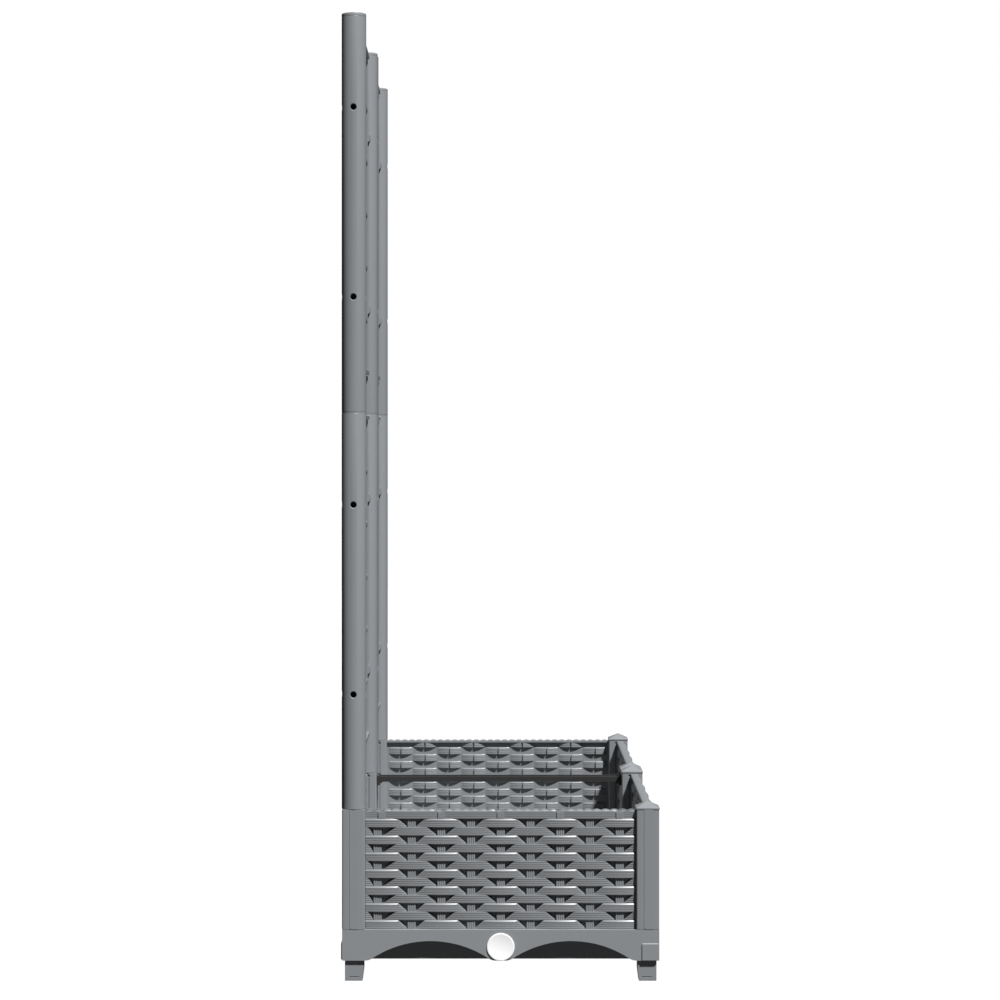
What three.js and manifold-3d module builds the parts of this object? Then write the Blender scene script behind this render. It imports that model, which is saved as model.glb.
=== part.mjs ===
// A two-bay planter box with a tall trellis along its back, in millimetres.
// X runs along the length, -Y is the open front, +Y carries the trellis, +Z is up.
// The origin is on the floor, under the middle of the box.
import * as THREE from 'three';
import { mergeVertices } from 'three/addons/utils/BufferGeometryUtils.js';
import Module from 'manifold-3d';

// ---------------------------------------------------------------- driving dimensions

const SEAT = 0.3; // clearance between pieces that rest on each other
const FIT = 0.3; // clearance round a tongue, peg or spigot, on each side

const BAY_GAP = 3; // between the two trays

// base tray
const TRAY_SIDE = 397;
const TRAY_HEIGHT = 38.5;
const TRAY_WALL = 2.5;
const TRAY_DECK = 3;
const BASIN_SETBACK = 13; // from the tray's outer face to the basin wall's outer face
const COLUMN_SIDE = 33; // solid corner under each post
const ARCH_WIDTH = 154; // chord of the arc, at the skirt's lower edge
const ARCH_HEIGHT = 24.5;
const ARCH_SEGMENTS = 4;
const PIER_WIDTH = 22; // between the two arches of a side
const BLOCK_WIDTH = 20;
const BLOCK_HEIGHT = 21.2;
const BLOCK_LIFT = 0.6;
const BLOCK_PROUD = 1.5;
const BLOCK_EDGE = 1.5; // from the tray's corner to the block
const BLOCK_CORNER = 3;

// feet
const FOOT_SIDE = 23.6;
const FOOT_HEIGHT = 26;
const FOOT_INSET = 3.4; // from the tray's outer faces
const FOOT_TAPER = 1.6; // how far the two inner sides draw in at the floor
const FOOT_TAPER_HEIGHT = 14;
const FOOT_PEG_SIDE = 14;
const FOOT_PEG_HEIGHT = 12;

// drain plug
const PLUG_HEIGHT = 17.2; // its middle above the tray's lower edge
const PLUG_DISC = 34.6;
const PLUG_DISC_THICK = 1.2;
const PLUG_SHANK = 15;
const SPOUT_WALL = 2.6;

// square posts
const POST_SIDE = 28.6;
const POST_HEIGHT = 149.8;
const POST_BORE = 14.6;
const POST_PEG_HEIGHT = 26; // tray peg inside the post
const SLOT_WIDTH = 4.6;
const SLOT_DEPTH = 5.3;
const SLOT_INSET = 11; // slot middle from the post's outer face
const STRIP_START = 9.5; // raised strip, from the left edge of an outer face
const STRIP_WIDTH = 11.5;
const STRIP_PROUD = 0.5;

// pyramid caps
const CAP_OVERHANG = 0.6;
const CAP_SKIRT = 3.2;
const CAP_PYRAMID = 7.6;
const CAP_PEG_HEIGHT = 12;

// woven-look wall panels; depths are measured inwards from the tray's outer face
const ROWS = 13;
const RIM_HEIGHT = 10.5;
const PANEL_DROP = 1.5; // the panel's top below the posts' tops
const STAKES = 9;
const STAKE_PITCH = 37.25;
const FIRST_STAKE_SHIFT = 5; // of the first stake, towards the panel's edge
const GAP_TOP = 33; // V-shaped gap over a stake, at the row's upper edge
const GAP_FOOT = 10; // and at its lower edge, which is the stake's own width
const GAP_MARGIN = 0.5; // strand left above and below a gap
const OUTER_ROW_DEPTH = 4;
const INNER_ROW_DEPTH = 5.6;
const STAKE_DEPTH = 9;
const PANEL_BACK_DEPTH = 16;
const PATCH_WIDTH = 8.6; // raised patches of the rim, over every second stake
const PATCH_PROUD = 1;
const PATCH_LIFT = 0.6;
const TONGUE_LENGTH = 4.6;

// tie bar between the mid posts
const TIE_DROP = 7.2; // its top below the posts' tops
const TIE_WIDTH = 22;
const TIE_HEIGHT = 7.2;
const TIE_CHANNEL_DEPTH = 4.6;
const TIE_CHANNEL_WALL = 2.6;
const TIE_HEAD_THICK = 4;
const TIE_HEAD_HEIGHT = 16;
const TIE_HEAD_RISE = 4.8; // head's top above the bar's top
const TIE_HEAD_MARGIN = 2.5; // of the head beyond its tongues

// trellis tubes
const TUBE_DIAMETER = 30.9;
const TUBE_WALL = 2.2;
const TUBE_LENGTH = 495.6;
const TUBE_SECTIONS = 2;
const TUBE_HOLE = 7.8;
const TUBE_HOLE_LOW = 145.5; // above the section's lower end
const TUBE_HOLE_SPACING = 238;
const SPIGOT_LENGTH = 38;
const COLLAR_THICK = 1.6;
const TUBE_CAP_EDGE = 3.9;
const TUBE_CAP_DOME = 1.5;
const TUBE_CAP_OVERHANG = 0.2;
const TUBE_CAP_PLUG = 14;

// trellis lattices
const LATTICE_LIFT = 53; // lower rail above the section's lower end
const LATTICE_TOP_GAP = 1.5; // upper rail below the section's upper end
const RAIL_HEIGHT = 5;
const RAIL_DEPTH = 10;
const STILE_WIDTH = 6;
const BAR_WIDTH = 4;
const BAR_DEPTH = 5;
const LATTICE_COLUMNS = 4;
const LATTICE_ROWS = 6;
const PEG_COLLAR_DIAMETER = 14;
const PEG_COLLAR_LENGTH = 3;
const PEG_REACH = 1.5; // of the peg past the tube's wall
const PEG_ROOT = 1; // of the peg inside the lattice's edge

const ROUND_SIDES = 12;
const HOLE_SIDES = 6;

// ---------------------------------------------------------------- worked out from them

const BAY_PITCH = TRAY_SIDE + BAY_GAP; // from the middle of one bay to the middle of the next
const TRAY_BOTTOM = FOOT_HEIGHT;
const TRAY_TOP = TRAY_BOTTOM + TRAY_HEIGHT;
const TRAY_HALF = TRAY_SIDE / 2;
const BASIN_HALF = TRAY_HALF - BASIN_SETBACK - TRAY_WALL;
const BASIN_FLOOR = TRAY_BOTTOM + TRAY_WALL;
const COLUMN_MIDDLE = TRAY_HALF - COLUMN_SIDE / 2;
const POST_MIDDLE = TRAY_HALF - POST_SIDE / 2;
const POST_BOTTOM = TRAY_TOP + SEAT;
const POST_TOP = POST_BOTTOM + POST_HEIGHT;
const BORE_PEG = POST_BORE - 2 * FIT;
const PANEL_BOTTOM = TRAY_TOP + SEAT;
const PANEL_TOP = POST_TOP - PANEL_DROP;
const WEAVE_HEIGHT = PANEL_TOP - PANEL_BOTTOM - RIM_HEIGHT;
const ROW_PITCH = WEAVE_HEIGHT / ROWS;
const PANEL_HALF = POST_MIDDLE - POST_SIDE / 2 - SEAT;
const TUBE_RADIUS = TUBE_DIAMETER / 2;
const TUBE_BORE_RADIUS = TUBE_RADIUS - TUBE_WALL;
const TUBE_BOTTOM = POST_TOP + SEAT;
const SECTION_PITCH = TUBE_LENGTH + COLLAR_THICK + 2 * SEAT;
const BAY_SIGNS = [-1, 1];
const BAY_NAMES = ['near', 'far'];

// ---------------------------------------------------------------- solid tools

const wasm = await Module();
wasm.setup();

// A closed three.js geometry becomes a solid that can be joined and cut. Triangles that shrink to
// a line where a turned profile meets its axis are dropped.
function solid(geometry) {
  const bare = geometry.index ? geometry.toNonIndexed() : geometry.clone();
  bare.deleteAttribute('normal');
  bare.deleteAttribute('uv');
  const merged = mergeVertices(bare, 1e-4);
  const corners = merged.index.array;
  const kept = [];
  for (let i = 0; i < corners.length; i += 3) {
    const [a, b, c] = corners.slice(i, i + 3);
    if (a !== b && b !== c && c !== a) kept.push(a, b, c);
  }
  return new wasm.Manifold(new wasm.Mesh({
    numProp: 3,
    vertProperties: new Float32Array(merged.attributes.position.array),
    triVerts: new Uint32Array(kept),
  }));
}

function geometryOf(body) {
  const mesh = body.asOriginal().simplify().getMesh();
  const geometry = new THREE.BufferGeometry();
  geometry.setAttribute('position', new THREE.BufferAttribute(mesh.vertProperties, 3));
  geometry.setIndex(new THREE.BufferAttribute(mesh.triVerts, 1));
  return geometry;
}

function join(bodies) {
  return bodies.reduce((whole, body) => whole.add(body));
}

// A box between two corners.
function box(x0, x1, y0, y1, z0, z1) {
  const geometry = new THREE.BoxGeometry(x1 - x0, y1 - y0, z1 - z0);
  geometry.translate((x0 + x1) / 2, (y0 + y1) / 2, (z0 + z1) / 2);
  return solid(geometry);
}

// A square bar standing on z0, about the point x, y.
function squareBar(x, y, side, z0, z1) {
  const half = side / 2;
  return box(x - half, x + half, y - half, y + half, z0, z1);
}

// A turned piece about the Z axis, from points [radius, height] that start and end on the axis.
function turned(points, sides) {
  const profile = points.map(([radius, height]) => new THREE.Vector2(radius, height));
  const geometry = new THREE.LatheGeometry(profile, sides, Math.PI / sides);
  geometry.rotateX(Math.PI / 2);
  return solid(geometry);
}

function rod(radius, z0, z1, sides = ROUND_SIDES) {
  return turned([[0, z0], [radius, z0], [radius, z1], [0, z1]], sides);
}

// A shape drawn in X and Z, extruded along +Y from y0 to y1.
function slab(shape, y0, y1, curveSegments = 1) {
  const geometry = new THREE.ExtrudeGeometry(shape, {
    depth: y1 - y0, bevelEnabled: false, curveSegments,
  });
  geometry.rotateX(Math.PI / 2);
  geometry.translate(0, y1, 0);
  return solid(geometry);
}

function outline(points) {
  return new THREE.Shape(points.map(([x, y]) => new THREE.Vector2(x, y)));
}

// Four copies, one for each side of a bay, by quarter turns about Z.
function onFourSides(body) {
  return join([0, 90, 180, 270].map((angle) => body.rotate([0, 0, angle])));
}

// ---------------------------------------------------------------- pieces of one bay
// Each is made about the bay's own middle, at its real height.

// One low arch of the skirt, a circular arc over its chord, as the prism that is cut away; the
// side faces -Y.
function archCut(side) {
  const half = ARCH_WIDTH / 2;
  const radius = (half * half + ARCH_HEIGHT * ARCH_HEIGHT) / (2 * ARCH_HEIGHT);
  const spread = Math.asin(half / radius);
  const middle = side * (PIER_WIDTH + ARCH_WIDTH) / 2;
  const centre = TRAY_BOTTOM + ARCH_HEIGHT - radius;
  const shape = new THREE.Shape();
  shape.moveTo(middle - half, TRAY_BOTTOM - 1);
  shape.lineTo(middle + half, TRAY_BOTTOM - 1);
  shape.absarc(middle, centre, radius, Math.PI / 2 - spread, Math.PI / 2 + spread, false);
  shape.closePath();
  return slab(shape, -TRAY_HALF - 1, -TRAY_HALF + TRAY_WALL + 1, ARCH_SEGMENTS);
}

// The raised block near the right end of a side that faces -Y.
function cornerBlock() {
  const right = TRAY_HALF - BLOCK_EDGE;
  const left = right - BLOCK_WIDTH;
  const low = TRAY_BOTTOM + BLOCK_LIFT;
  const high = low + BLOCK_HEIGHT;
  const shape = new THREE.Shape();
  shape.moveTo(left, low);
  shape.lineTo(right - BLOCK_CORNER, low);
  shape.absarc(right - BLOCK_CORNER, low + BLOCK_CORNER, BLOCK_CORNER, -Math.PI / 2, 0, false);
  shape.lineTo(right, high);
  shape.lineTo(left, high);
  shape.closePath();
  return slab(shape, -TRAY_HALF - BLOCK_PROUD, -TRAY_HALF + TRAY_WALL / 2);
}

// The drain spout runs along X, from the basin to the skirt of the side that faces -X.
function alongMinusX(body) {
  return body.rotate([0, -90, 0]).translate([0, 0, TRAY_BOTTOM + PLUG_HEIGHT]);
}

function tray() {
  const low = TRAY_BOTTOM;
  const high = TRAY_TOP;
  const free = COLUMN_MIDDLE - COLUMN_SIDE / 2;
  const skirtInner = TRAY_HALF - TRAY_WALL;
  const basinOuter = BASIN_HALF + TRAY_WALL;
  let body = box(-TRAY_HALF, TRAY_HALF, -TRAY_HALF, TRAY_HALF, low, high);
  const channel = box(-free, free, -skirtInner, -basinOuter, low - 1, high - TRAY_DECK);
  body = body.subtract(onFourSides(channel));
  const basin = box(-BASIN_HALF, BASIN_HALF, -free, free, BASIN_FLOOR, high + 1)
    .add(box(-free, free, -BASIN_HALF, BASIN_HALF, BASIN_FLOOR, high + 1));
  body = body.subtract(basin);
  body = body.subtract(onFourSides(archCut(-1).add(archCut(1))));
  body = body.add(onFourSides(cornerBlock()));
  const post = squareBar(POST_MIDDLE, POST_MIDDLE, BORE_PEG, high - 1, high + POST_PEG_HEIGHT);
  const foot = FOOT_PEG_SIDE + 2 * FIT;
  const footMiddle = TRAY_HALF - FOOT_INSET - FOOT_SIDE / 2;
  const socketTop = low + FOOT_PEG_HEIGHT + FIT;
  const socket = squareBar(footMiddle, footMiddle, foot, low - 1, socketTop);
  body = body.add(onFourSides(post)).subtract(onFourSides(socket));
  const spoutRadius = PLUG_SHANK / 2 + FIT + SPOUT_WALL;
  const spout = rod(spoutRadius, basinOuter - TRAY_WALL / 2, skirtInner + TRAY_WALL / 2);
  const bore = rod(PLUG_SHANK / 2 + FIT, BASIN_HALF - 1, TRAY_HALF + 1);
  return body.add(alongMinusX(spout)).subtract(alongMinusX(bore));
}

// One tapering side of the foot, as a profile across it; the outer face is at +half.
function footProfile() {
  const half = FOOT_SIDE / 2;
  const top = FOOT_HEIGHT - SEAT;
  return outline([
    [-half + FOOT_TAPER, 0], [half, 0], [half, top], [-half, top], [-half, FOOT_TAPER_HEIGHT],
  ]);
}

function foot() {
  const half = FOOT_SIDE / 2;
  const across = slab(footProfile(), -half, half);
  const body = across.intersect(across.rotate([0, 0, 90]));
  const top = FOOT_HEIGHT - SEAT;
  const peg = squareBar(0, 0, FOOT_PEG_SIDE, top - 1, FOOT_HEIGHT + FOOT_PEG_HEIGHT);
  return body.add(peg);
}

function drainPlug() {
  const face = TRAY_HALF + SEAT + PLUG_DISC_THICK;
  const shoulder = TRAY_HALF + SEAT;
  const tip = BASIN_HALF - 1;
  const disc = PLUG_DISC / 2;
  const shank = PLUG_SHANK / 2;
  return alongMinusX(turned([
    [0, tip], [shank - 1, tip], [shank, tip + 2], [shank, shoulder], [disc, shoulder],
    [disc, face - 0.4], [disc - 0.4, face], [0, face],
  ], ROUND_SIDES));
}

// The post of the corner at +X and +Y: its outer faces look along +X and +Y.
function postSection() {
  const half = POST_SIDE / 2;
  const slot = half - SLOT_INSET;
  const a = slot - SLOT_WIDTH / 2;
  const b = slot + SLOT_WIDTH / 2;
  const floor = -half + SLOT_DEPTH;
  const stripLow = -half + STRIP_START;
  const stripHigh = stripLow + STRIP_WIDTH;
  const proud = half + STRIP_PROUD;
  const shape = outline([
    [-half, -half], [a, -half], [a, floor], [b, floor], [b, -half], [half, -half],
    [half, stripLow], [proud, stripLow], [proud, stripHigh], [half, stripHigh], [half, half],
    [-stripLow, half], [-stripLow, proud], [-stripHigh, proud], [-stripHigh, half],
    [-half, half], [-half, b], [floor, b], [floor, a], [-half, a],
  ]);
  const bore = POST_BORE / 2;
  shape.holes.push(new THREE.Path([
    new THREE.Vector2(-bore, -bore), new THREE.Vector2(-bore, bore),
    new THREE.Vector2(bore, bore), new THREE.Vector2(bore, -bore),
  ]));
  return shape;
}

function post() {
  const geometry = new THREE.ExtrudeGeometry(postSection(), {
    depth: POST_HEIGHT, bevelEnabled: false,
  });
  geometry.translate(0, 0, POST_BOTTOM);
  return solid(geometry);
}

function pyramidCap() {
  const half = POST_SIDE / 2 + CAP_OVERHANG;
  const base = POST_TOP + SEAT;
  const eaves = base + CAP_SKIRT;
  const skirt = squareBar(0, 0, 2 * half, base, eaves);
  const roof = new THREE.ConeGeometry(half * Math.SQRT2, CAP_PYRAMID, 4);
  roof.rotateX(Math.PI / 2);
  roof.rotateZ(Math.PI / 4);
  roof.translate(0, 0, eaves + CAP_PYRAMID / 2);
  const peg = squareBar(0, 0, BORE_PEG, POST_TOP - CAP_PEG_HEIGHT, base + CAP_SKIRT / 2);
  return skirt.add(solid(roof)).add(peg);
}

// The woven wall. It is drawn as the wall that faces -Y: X across, depth inwards from the
// tray's outer face.
const atDepth = (depth) => -TRAY_HALF + depth;
const evenX = (index) => (index - (STAKES - 1) / 2) * STAKE_PITCH;
const stakeX = (index) => evenX(index) - (index === 0 ? FIRST_STAKE_SHIFT : 0);
const rowTop = (row) => PANEL_BOTTOM + WEAVE_HEIGHT - row * ROW_PITCH;

// The rim stands level with the outer rows, and the rows between lie a strand's step further in.
function wovenProfile() {
  const points = [];
  for (let row = ROWS - 1; row >= 0; row -= 1) {
    const front = atDepth(row % 2 === 0 ? OUTER_ROW_DEPTH : INNER_ROW_DEPTH);
    points.push([front, rowTop(row) - ROW_PITCH], [front, rowTop(row)]);
  }
  const rim = atDepth(OUTER_ROW_DEPTH);
  const back = atDepth(PANEL_BACK_DEPTH);
  return outline([...points, [rim, PANEL_TOP], [back, PANEL_TOP], [back, PANEL_BOTTOM]]);
}

// In each row every second stake shows through a V-shaped gap, where the strands pass behind it,
// and the rows above and below show the stakes between. A gap ends on its stake, and the heads of
// the gaps are evenly spaced.
function stakeGaps(row) {
  const top = rowTop(row) - GAP_MARGIN;
  const low = rowTop(row) - ROW_PITCH + GAP_MARGIN;
  const gaps = [];
  for (let stake = row % 2 === 0 ? 1 : 0; stake < STAKES; stake += 2) {
    const foot = stakeX(stake);
    const head = evenX(stake);
    const shape = outline([
      [foot - GAP_FOOT / 2, low], [foot + GAP_FOOT / 2, low],
      [head + GAP_TOP / 2, top], [head - GAP_TOP / 2, top],
    ]);
    gaps.push(slab(shape, atDepth(0), atDepth(STAKE_DEPTH)));
  }
  return gaps;
}

function rimPatches() {
  const patches = [];
  for (let stake = 0; stake < STAKES; stake += 2) {
    const left = evenX(stake) - PATCH_WIDTH / 2;
    patches.push(box(
      left, left + PATCH_WIDTH, atDepth(OUTER_ROW_DEPTH - PATCH_PROUD), atDepth(INNER_ROW_DEPTH),
      rowTop(0) + PATCH_LIFT, PANEL_TOP,
    ));
  }
  return patches;
}

function wallPanel() {
  const woven = slab(wovenProfile(), -PANEL_HALF, PANEL_HALF).rotate([0, 0, 90]);
  const rows = Array.from({ length: ROWS }, (_, row) => row);
  const half = SLOT_WIDTH / 2 - FIT;
  const tongue = box(
    PANEL_HALF, PANEL_HALF + TONGUE_LENGTH,
    atDepth(SLOT_INSET - half), atDepth(SLOT_INSET + half), PANEL_BOTTOM, PANEL_TOP,
  );
  const body = woven.subtract(join(rows.flatMap(stakeGaps))).add(join(rimPatches()));
  return body.add(tongue).add(tongue.mirror([1, 0, 0]));
}

// ---------------------------------------------------------------- the trellis

// One tube section, standing on z = 0, with countersunk cross holes at two heights.
function tubeSection() {
  let body = rod(TUBE_RADIUS, 0, TUBE_LENGTH).subtract(rod(TUBE_BORE_RADIUS, -1, TUBE_LENGTH + 1));
  for (const height of [TUBE_HOLE_LOW, TUBE_HOLE_LOW + TUBE_HOLE_SPACING]) {
    const drill = rod(TUBE_HOLE / 2, -TUBE_DIAMETER, TUBE_DIAMETER, HOLE_SIDES)
      .rotate([0, 90, 0]).translate([0, 0, height]);
    body = body.subtract(drill).subtract(drill.rotate([0, 0, 90]));
  }
  return body;
}

// The adapter in the top of a back post: a square peg below, a round spigot in the tube above.
function postSpigot() {
  const round = TUBE_BORE_RADIUS - FIT;
  const peg = squareBar(0, 0, BORE_PEG, POST_TOP - SPIGOT_LENGTH, TUBE_BOTTOM + 1);
  return rod(round, TUBE_BOTTOM, TUBE_BOTTOM + SPIGOT_LENGTH).add(peg);
}

// The joint between two sections, made about the middle of its collar.
function tubeCoupler() {
  const round = TUBE_BORE_RADIUS - FIT;
  const half = COLLAR_THICK / 2;
  return turned([
    [0, -SPIGOT_LENGTH], [round, -SPIGOT_LENGTH], [round, -half], [TUBE_RADIUS, -half],
    [TUBE_RADIUS, half], [round, half], [round, SPIGOT_LENGTH], [0, SPIGOT_LENGTH],
  ], ROUND_SIDES);
}

// The domed cap of the upper section, standing on z = 0 at the tube's upper end.
function tubeCap() {
  const round = TUBE_BORE_RADIUS - FIT;
  const edge = TUBE_RADIUS + TUBE_CAP_OVERHANG;
  return turned([
    [0, -TUBE_CAP_PLUG], [round, -TUBE_CAP_PLUG], [round, SEAT], [edge, SEAT],
    [edge, TUBE_CAP_EDGE], [edge * 0.75, TUBE_CAP_EDGE + TUBE_CAP_DOME * 0.7],
    [0, TUBE_CAP_EDGE + TUBE_CAP_DOME],
  ], ROUND_SIDES);
}

// One lattice between two tubes, about the bay's middle, with z = 0 at the section's lower end.
function lattice() {
  const half = POST_MIDDLE - TUBE_RADIUS - SEAT - PEG_COLLAR_LENGTH;
  const low = LATTICE_LIFT;
  const high = TUBE_LENGTH - LATTICE_TOP_GAP;
  const innerLow = low + RAIL_HEIGHT;
  const innerHigh = high - RAIL_HEIGHT;
  const cellWidth = (2 * (half - STILE_WIDTH) + BAR_WIDTH) / LATTICE_COLUMNS;
  const cellHeight = (innerHigh - innerLow + BAR_WIDTH) / LATTICE_ROWS;
  let grille = box(-half, half, -BAR_DEPTH / 2, BAR_DEPTH / 2, low, high);
  for (let column = 0; column < LATTICE_COLUMNS; column += 1) {
    for (let row = 0; row < LATTICE_ROWS; row += 1) {
      const x = -half + STILE_WIDTH + column * cellWidth;
      const z = innerLow + row * cellHeight;
      grille = grille.subtract(box(
        x, x + cellWidth - BAR_WIDTH, -BAR_DEPTH, BAR_DEPTH, z, z + cellHeight - BAR_WIDTH,
      ));
    }
  }
  const parts = [
    grille,
    box(-half, half, -RAIL_DEPTH / 2, RAIL_DEPTH / 2, low, innerLow),
    box(-half, half, -RAIL_DEPTH / 2, RAIL_DEPTH / 2, innerHigh, high),
  ];
  const tip = PEG_COLLAR_LENGTH + SEAT + TUBE_WALL + PEG_REACH;
  const peg = rod(TUBE_HOLE / 2 - FIT, -PEG_ROOT, tip, HOLE_SIDES)
    .add(rod(PEG_COLLAR_DIAMETER / 2, -PEG_ROOT, PEG_COLLAR_LENGTH, HOLE_SIDES));
  for (const height of [TUBE_HOLE_LOW, TUBE_HOLE_LOW + TUBE_HOLE_SPACING]) {
    parts.push(peg.rotate([0, 90, 0]).translate([half, 0, height]));
    parts.push(peg.rotate([0, -90, 0]).translate([-half, 0, height]));
  }
  return join(parts);
}

// ---------------------------------------------------------------- the tie bar

function tieBar() {
  const top = POST_TOP - TIE_DROP;
  const low = top - TIE_HEIGHT;
  const half = POST_MIDDLE - POST_SIDE / 2 - SEAT;
  const wide = TIE_WIDTH / 2;
  const bar = box(-wide, wide, -half, half, low, top);
  const channel = wide - TIE_CHANNEL_WALL;
  const end = half - TIE_HEAD_THICK;
  const open = box(-channel, channel, -end, end, top - TIE_CHANNEL_DEPTH, top + 1);
  const slotX = BAY_PITCH / 2 - TRAY_HALF + SLOT_INSET;
  const tongue = SLOT_WIDTH / 2 - FIT;
  const headWide = slotX + tongue + TIE_HEAD_MARGIN;
  const headTop = top + TIE_HEAD_RISE;
  const headLow = headTop - TIE_HEAD_HEIGHT;
  const parts = [bar.subtract(open)];
  for (const side of [-1, 1]) {
    const inner = Math.min(side * half, side * end);
    const outer = Math.max(side * half, side * end);
    parts.push(box(-headWide, headWide, inner, outer, headLow, headTop));
    const tip = side * (half + TONGUE_LENGTH);
    const root = side * (half - 1);
    for (const sign of [-1, 1]) {
      parts.push(box(
        sign * slotX - tongue, sign * slotX + tongue,
        Math.min(tip, root), Math.max(tip, root), headLow, headTop,
      ));
    }
  }
  return join(parts);
}

// ---------------------------------------------------------------- materials and assembly

function plastic(color, roughness) {
  return new THREE.MeshStandardMaterial({ color, roughness, metalness: 0 });
}
const greyPlastic = () => plastic(0x8e9296, 0.45);
const whitePlastic = () => plastic(0xf6f6f4, 0.4);
const darkPlastic = () => plastic(0x3a3836, 0.5);

const planter = new THREE.Group();

function place(name, body, material, x = 0, y = 0, z = 0, quarterTurns = 0) {
  const mesh = new THREE.Mesh(geometryOf(body), material);
  mesh.name = name;
  mesh.position.set(x, y, z);
  mesh.rotation.z = quarterTurns * Math.PI / 2;
  planter.add(mesh);
}

// The corners of a bay, by the number of quarter turns from the one at +X and +Y.
const CORNERS = [[1, 1], [-1, 1], [-1, -1], [1, -1]];
const bayX = (bay) => BAY_SIGNS[bay] * BAY_PITCH / 2;

// Names such as near_outer_back: which bay, outer end or mid, back or front.
function cornerName(bay, corner) {
  const [sx, sy] = CORNERS[corner];
  const end = sx === BAY_SIGNS[bay] ? 'outer' : 'mid';
  return `${BAY_NAMES[bay]}_${end}_${sy > 0 ? 'back' : 'front'}`;
}

const trayBody = tray();
const footBody = foot();
const postBody = post();
const capBody = pyramidCap();
const panelBody = wallPanel();
const plugBody = drainPlug();
const tubeBody = tubeSection();
const spigotBody = postSpigot();
const couplerBody = tubeCoupler();
const tubeCapBody = tubeCap();
const latticeBody = lattice();

BAY_NAMES.forEach((bayName, bay) => {
  const x = bayX(bay);
  const outward = BAY_SIGNS[bay] < 0 ? 0 : 2;
  place(`${bayName}_tray`, trayBody, greyPlastic(), x, 0, 0, outward);
  place(`${bayName}_drain_plug`, plugBody, whitePlastic(), x, 0, 0, outward);
  place(`${bayName}_front_panel`, panelBody, greyPlastic(), x);
  place(`${bayName}_back_panel`, panelBody, greyPlastic(), x, 0, 0, 2);
  place(`${bayName}_end_panel`, panelBody, greyPlastic(), x, 0, 0, BAY_SIGNS[bay] < 0 ? 3 : 1);
  CORNERS.forEach(([sx, sy], corner) => {
    const name = cornerName(bay, corner);
    const footMiddle = TRAY_HALF - FOOT_INSET - FOOT_SIDE / 2;
    const postX = x + sx * POST_MIDDLE;
    const postY = sy * POST_MIDDLE;
    place(`${name}_foot`, footBody, greyPlastic(), x + sx * footMiddle, sy * footMiddle, 0, corner);
    place(`${name}_post`, postBody, greyPlastic(), postX, postY, 0, corner);
    if (sy < 0) {
      place(`${name}_cap`, capBody, greyPlastic(), postX, postY);
      return;
    }
    place(`${name}_spigot`, spigotBody, greyPlastic(), postX, postY);
    for (let section = 0; section < TUBE_SECTIONS; section += 1) {
      const level = section === 0 ? 'lower' : 'upper';
      const z = TUBE_BOTTOM + section * SECTION_PITCH;
      place(`${name}_${level}_tube`, tubeBody, greyPlastic(), postX, postY, z);
      if (section > 0) {
        const seam = z - SEAT - COLLAR_THICK / 2;
        place(`${name}_coupler`, couplerBody, greyPlastic(), postX, postY, seam);
      }
    }
    const top = TUBE_BOTTOM + (TUBE_SECTIONS - 1) * SECTION_PITCH + TUBE_LENGTH;
    place(`${name}_tube_cap`, tubeCapBody, greyPlastic(), postX, postY, top);
  });
  for (let section = 0; section < TUBE_SECTIONS; section += 1) {
    const level = section === 0 ? 'lower' : 'upper';
    const z = TUBE_BOTTOM + section * SECTION_PITCH;
    place(`${bayName}_${level}_lattice`, latticeBody, greyPlastic(), x, POST_MIDDLE, z);
  }
});

place('tie_bar', tieBar(), darkPlastic());

export default planter;
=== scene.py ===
"""A two-bay planter box with a trellis along its back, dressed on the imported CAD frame.

Every shape below is drawn in millimetres in the frame's own axes: X along the length, -Y the open
front, +Y the trellis, +Z up. It becomes metres when its mesh is finished.
"""
from math import asin, cos, pi, radians, sin

import bmesh
import bpy
from mathutils import Matrix, Vector


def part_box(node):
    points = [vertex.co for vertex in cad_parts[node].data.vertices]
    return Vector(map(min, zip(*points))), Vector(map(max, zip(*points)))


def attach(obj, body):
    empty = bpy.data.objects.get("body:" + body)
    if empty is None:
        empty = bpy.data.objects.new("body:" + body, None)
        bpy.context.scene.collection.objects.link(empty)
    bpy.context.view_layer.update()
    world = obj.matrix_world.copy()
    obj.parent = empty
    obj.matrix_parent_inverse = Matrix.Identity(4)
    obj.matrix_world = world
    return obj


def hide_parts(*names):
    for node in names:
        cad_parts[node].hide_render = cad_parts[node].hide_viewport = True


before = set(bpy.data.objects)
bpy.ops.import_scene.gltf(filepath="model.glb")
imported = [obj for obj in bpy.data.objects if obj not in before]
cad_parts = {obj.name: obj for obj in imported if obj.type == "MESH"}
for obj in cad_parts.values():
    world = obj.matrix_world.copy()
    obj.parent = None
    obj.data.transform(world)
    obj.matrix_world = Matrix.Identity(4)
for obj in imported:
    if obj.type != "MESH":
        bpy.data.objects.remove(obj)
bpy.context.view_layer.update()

MM = 0.001


def box_mm(node):
    """Lowest and highest corner of a CAD node, in millimetres."""
    low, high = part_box(node)
    return low / MM, high / MM


def lerp(a, b, share):
    return a + (b - a) * share


# ------------------------------------------------------------ sizes that the frame gives

SEAT = 0.3          # clearance between stacked pieces
FIT = 0.3           # clearance round a peg, spigot or shank
BLOCK_PROUD = 1.5   # of the corner blocks, beyond the tray's skirt
STRIP_PROUD = 0.5   # of the raised strips, beyond the posts' faces
TONGUE = 4.6        # of a panel, inside the post's slot

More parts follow.
